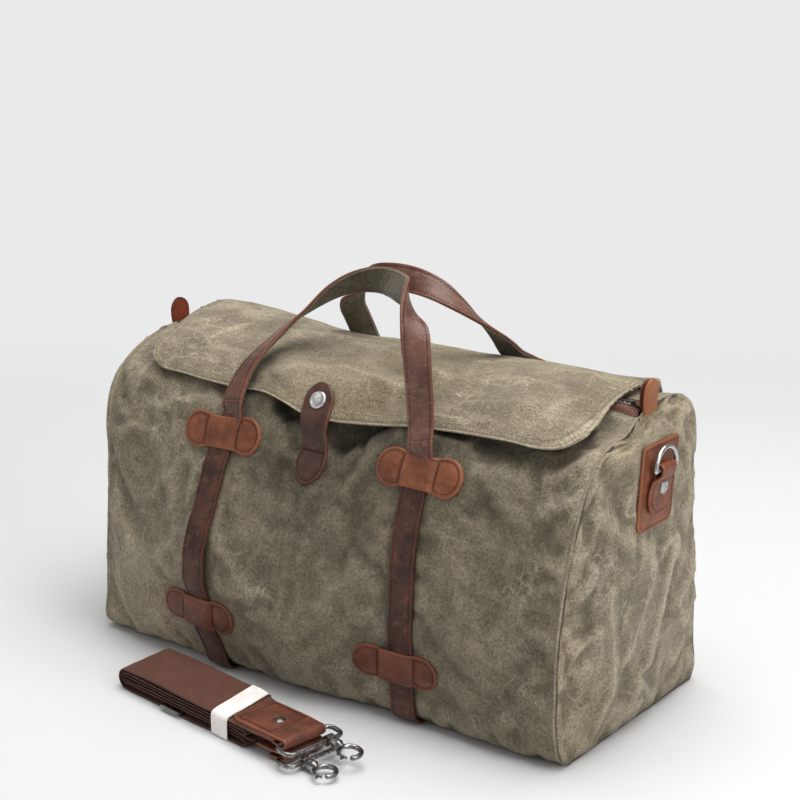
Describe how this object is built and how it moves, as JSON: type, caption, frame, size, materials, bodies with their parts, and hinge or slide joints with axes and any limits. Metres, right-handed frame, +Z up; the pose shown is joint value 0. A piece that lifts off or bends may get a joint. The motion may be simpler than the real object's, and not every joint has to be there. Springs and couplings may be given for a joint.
{
  "type": "weekender bag",
  "caption": "Waxed canvas weekender with a fold-over flap, leather straps and handles, side rings and a lift-off shoulder strap.",
  "frame": {"origin": "middle of the bag's footprint, on the floor", "axes": "+X along the bag, -Y towards the front with the snap tab, +Z up"},
  "size_m": [0.5524, 0.3682, 0.3601],
  "materials": {
    "canvas": "waxed cotton canvas, olive khaki, mottled and creased",
    "canvas_edge": "turned canvas edge, rubbed lighter",
    "cotton_lining": "plain cotton",
    "board": "stiff fibreboard",
    "zip_tape": "brown woven tape",
    "nickel": "polished nickel",
    "antique_nickel": "antique nickel",
    "leather_brown": "waxed pull-up leather, dark red-brown",
    "leather_tan": "waxed pull-up leather, warm brown",
    "leather_dark": "waxed pull-up leather, deep brown",
    "webbing": "brown twill webbing",
    "paper": "plain white paper"
  },
  "bodies": {
    "bag": {"front_panel": "canvas", "back_panel": "canvas", "base_panel": "canvas", "end_panel_right": "canvas", "end_panel_left": "canvas", "end_seam_right": "canvas_edge", "end_seam_left": "canvas_edge", "base_board": "board", "lining": "cotton_lining", "zip_tape_front": "zip_tape", "zip_tape_back": "zip_tape", "zip_teeth_front": "nickel", "zip_teeth_back": "nickel", "zip_end_tabs": "leather_tan", "strap_left": "leather_brown", "strap_right": "leather_brown", "keeper_front_upper_left": "leather_tan", "keeper_front_upper_right": "leather_tan", "keeper_front_lower_left": "leather_tan", "keeper_front_lower_right": "leather_tan", "keeper_back_upper_left": "leather_tan", "keeper_back_upper_right": "leather_tan", "keeper_back_lower_left": "leather_tan", "keeper_back_lower_right": "leather_tan", "ring_patch_right": "leather_tan", "ring_patch_left": "leather_tan", "ring_loop_right": "leather_tan", "ring_loop_left": "leather_tan", "ring_rivets": "antique_nickel", "snap_tab_base": "leather_dark"},
    "flap": {"flap_panel": "canvas", "flap_hem": "canvas_edge", "flap_snap_stud": "nickel"},
    "snap_tab": {"snap_tab": "leather_dark", "snap_cap": "nickel"},
    "handle_front_legs": {"handle_front_legs": "leather_brown"},
    "handle_front_loop": {"handle_front_leather": "leather_brown", "handle_front_lining": "canvas"},
    "handle_back_legs": {"handle_back_legs": "leather_brown"},
    "handle_back_loop": {"handle_back_leather": "leather_brown", "handle_back_lining": "canvas"},
    "zip_slider": {"zip_slider": "nickel"},
    "zip_pull": {"zip_pull": "nickel", "zip_pull_leather": "leather_brown"},
    "ring_right": {"d_ring_right": "nickel"},
    "ring_left": {"d_ring_left": "nickel"},
    "shoulder_strap": {"shoulder_webbing": "webbing", "paper_band": "paper", "strap_end_upper": "leather_brown", "strap_end_lower": "leather_brown", "strap_rivet": "antique_nickel"},
    "strap_adjuster": {"strap_adjuster": "antique_nickel"},
    "upper_ring": {"strap_ring_upper": "antique_nickel", "swivel_upper": "antique_nickel"},
    "lower_ring": {"strap_ring_lower": "antique_nickel", "swivel_lower": "antique_nickel"},
    "upper_hook": {"hook_upper": "antique_nickel"},
    "lower_hook": {"hook_lower": "antique_nickel"},
    "upper_gate": {"hook_gate_upper": "antique_nickel"},
    "lower_gate": {"hook_gate_lower": "antique_nickel"}
  },
  "joints": [
    {"name": "flap_open", "type": "hinge", "parent": "bag", "child": "flap", "pos_m": [0, 0.07501, 0.26678], "axis": [-1, 0, 0], "range_deg": [0, 100], "deforming": ["flap_panel", "flap_hem", "flap_snap_stud"]},
    {"name": "snap_tab_peel", "type": "hinge", "parent": "bag", "child": "snap_tab", "pos_m": [0, -0.1056, 0.213], "axis": [1, 0, 0], "range_deg": [0, 110]},
    {"name": "handle_front_tilt", "type": "hinge", "parent": "bag", "child": "handle_front_legs", "pos_m": [0, -0.1095, 0.2335], "axis": [1, 0, 0], "range_deg": [0, 48]},
    {"name": "handle_front_fold", "type": "hinge", "parent": "handle_front_legs", "child": "handle_front_loop", "pos_m": [0, -0.104, 0.2505], "axis": [1, 0, 0], "range_deg": [0, 110]},
    {"name": "handle_back_tilt", "type": "hinge", "parent": "bag", "child": "handle_back_legs", "pos_m": [0, 0.1095, 0.2335], "axis": [-1, 0, 0], "range_deg": [0, 48]},
    {"name": "handle_back_fold", "type": "hinge", "parent": "handle_back_legs", "child": "handle_back_loop", "pos_m": [0, 0.104, 0.2505], "axis": [-1, 0, 0], "range_deg": [0, 110]},
    {"name": "zip_travel", "type": "slide", "parent": "bag", "child": "zip_slider", "axis": [1, 0, 0], "range_m": [0, 0.43]},
    {"name": "zip_pull_lift", "type": "hinge", "parent": "zip_slider", "child": "zip_pull", "pos_m": [-0.233, 0.004, 0.2789], "axis": [0, -1, 0], "range_deg": [0, 100]},
    {"name": "ring_right_swing", "type": "hinge", "parent": "bag", "child": "ring_right", "pos_m": [0.2716, 0.002, 0.226], "axis": [0, 1, 0], "range_deg": [0, 150]},
    {"name": "ring_left_swing", "type": "hinge", "parent": "bag", "child": "ring_left", "pos_m": [-0.2716, 0.002, 0.226], "axis": [0, -1, 0], "range_deg": [0, 150]},
    {"name": "shoulder_strap_lift", "type": "slide", "parent": "bag", "child": "shoulder_strap", "axis": [0, 0, 1], "range_m": [0, 0.1]},
    {"name": "adjuster_slide", "type": "slide", "parent": "shoulder_strap", "child": "strap_adjuster", "axis": [0.9877, -0.1564, 0], "range_m": [0, 0.02]},
    {"name": "upper_ring_turn", "type": "hinge", "parent": "shoulder_strap", "child": "upper_ring", "pos_m": [0.06974, -0.21296, 0.0175], "axis": [0.1564, 0.9877, 0], "range_deg": [-80, 0]},
    {"name": "lower_ring_turn", "type": "hinge", "parent": "shoulder_strap", "child": "lower_ring", "pos_m": [0.06974, -0.21296, 0.006], "axis": [0.1564, 0.9877, 0], "range_deg": [0, 6]},
    {"name": "upper_hook_swivel", "type": "hinge", "parent": "upper_ring", "child": "upper_hook", "pos_m": [0.09838, -0.20382, 0.01468], "axis": [0.9823, -0.1556, -0.1045], "continuous": true},
    {"name": "lower_hook_swivel", "type": "hinge", "parent": "lower_ring", "child": "lower_hook", "pos_m": [0.0943, -0.23051, 0.006], "axis": [0.9877, -0.1564, 0], "range_deg": [-25, 25]},
    {"name": "upper_gate_press", "type": "hinge", "parent": "upper_hook", "child": "upper_gate", "pos_m": [0.10625, -0.2128, 0.01371], "axis": [0.1032, -0.0164, 0.9945], "range_deg": [0, 30], "stiffness_Nm_per_rad": 0.002},
    {"name": "lower_gate_press", "type": "hinge", "parent": "lower_hook", "child": "lower_gate", "pos_m": [0.10222, -0.2395, 0.006], "axis": [0, 0, 1], "range_deg": [0, 30], "stiffness_Nm_per_rad": 0.002}
  ],
  "couplings": [
    {"joint": "handle_front_tilt", "follows": "flap_open", "ratio": 0.48},
    {"joint": "handle_back_tilt", "follows": "flap_open", "ratio": 0.48}
  ]
}
